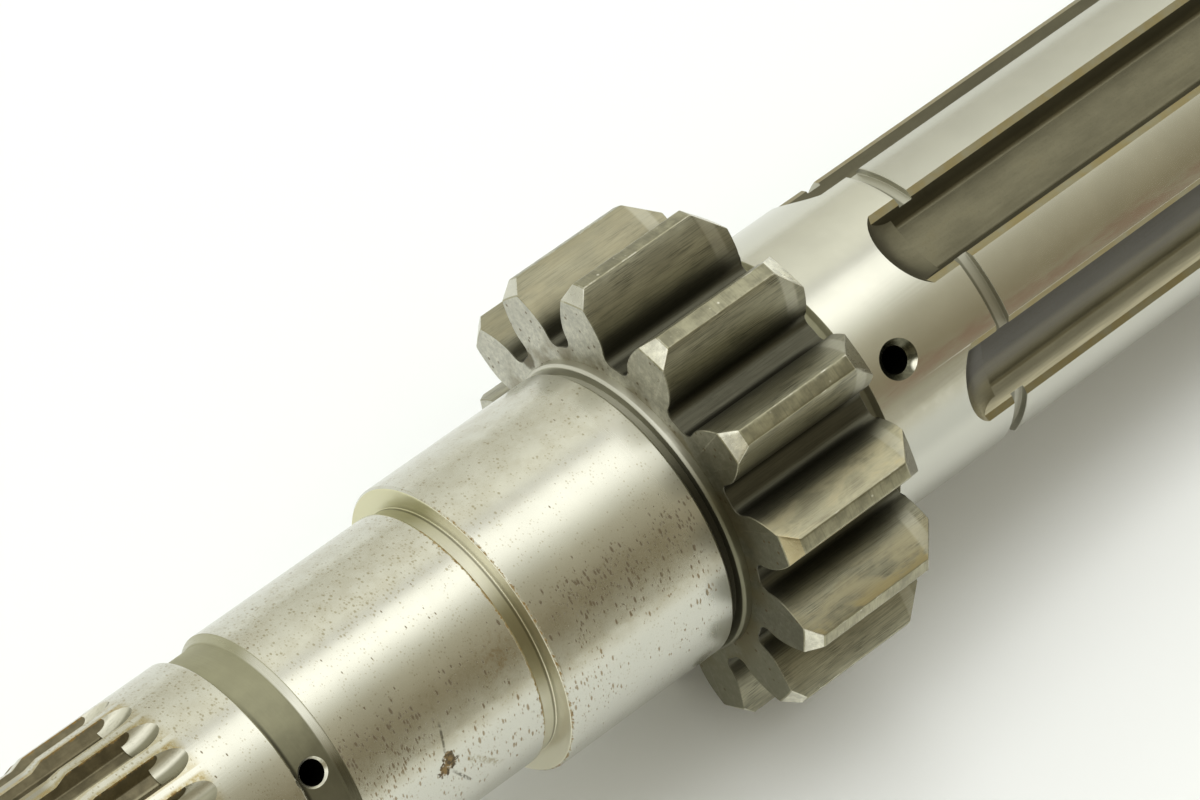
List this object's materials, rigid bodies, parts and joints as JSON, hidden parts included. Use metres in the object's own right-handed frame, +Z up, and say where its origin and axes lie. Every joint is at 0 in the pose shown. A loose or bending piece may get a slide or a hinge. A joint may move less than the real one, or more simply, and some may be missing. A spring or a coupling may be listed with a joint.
{
  "type": "transmission main shaft",
  "caption": "One-piece steel gearbox main shaft: ground bearing journals, an integral spur pinion, a gear spline with a ring groove, a clutch spline, oil holes and a gallery.",
  "frame": {"origin": "on the floor under the middle of the outline, with the shaft lying as it comes to rest", "axes": "+X along the shaft from the clutch end to the far bearing journal, +Z up; the axis dips 4.6 degrees towards +X because the shaft lies on two pinion teeth and the end of the gear spline"},
  "size_m": [0.2048, 0.0388, 0.0392],
  "materials": {
    "steel": "ground and hobbed steel with light rust specks"
  },
  "bodies": {
    "root": {"main_shaft": "steel"}
  },
  "joints": []
}
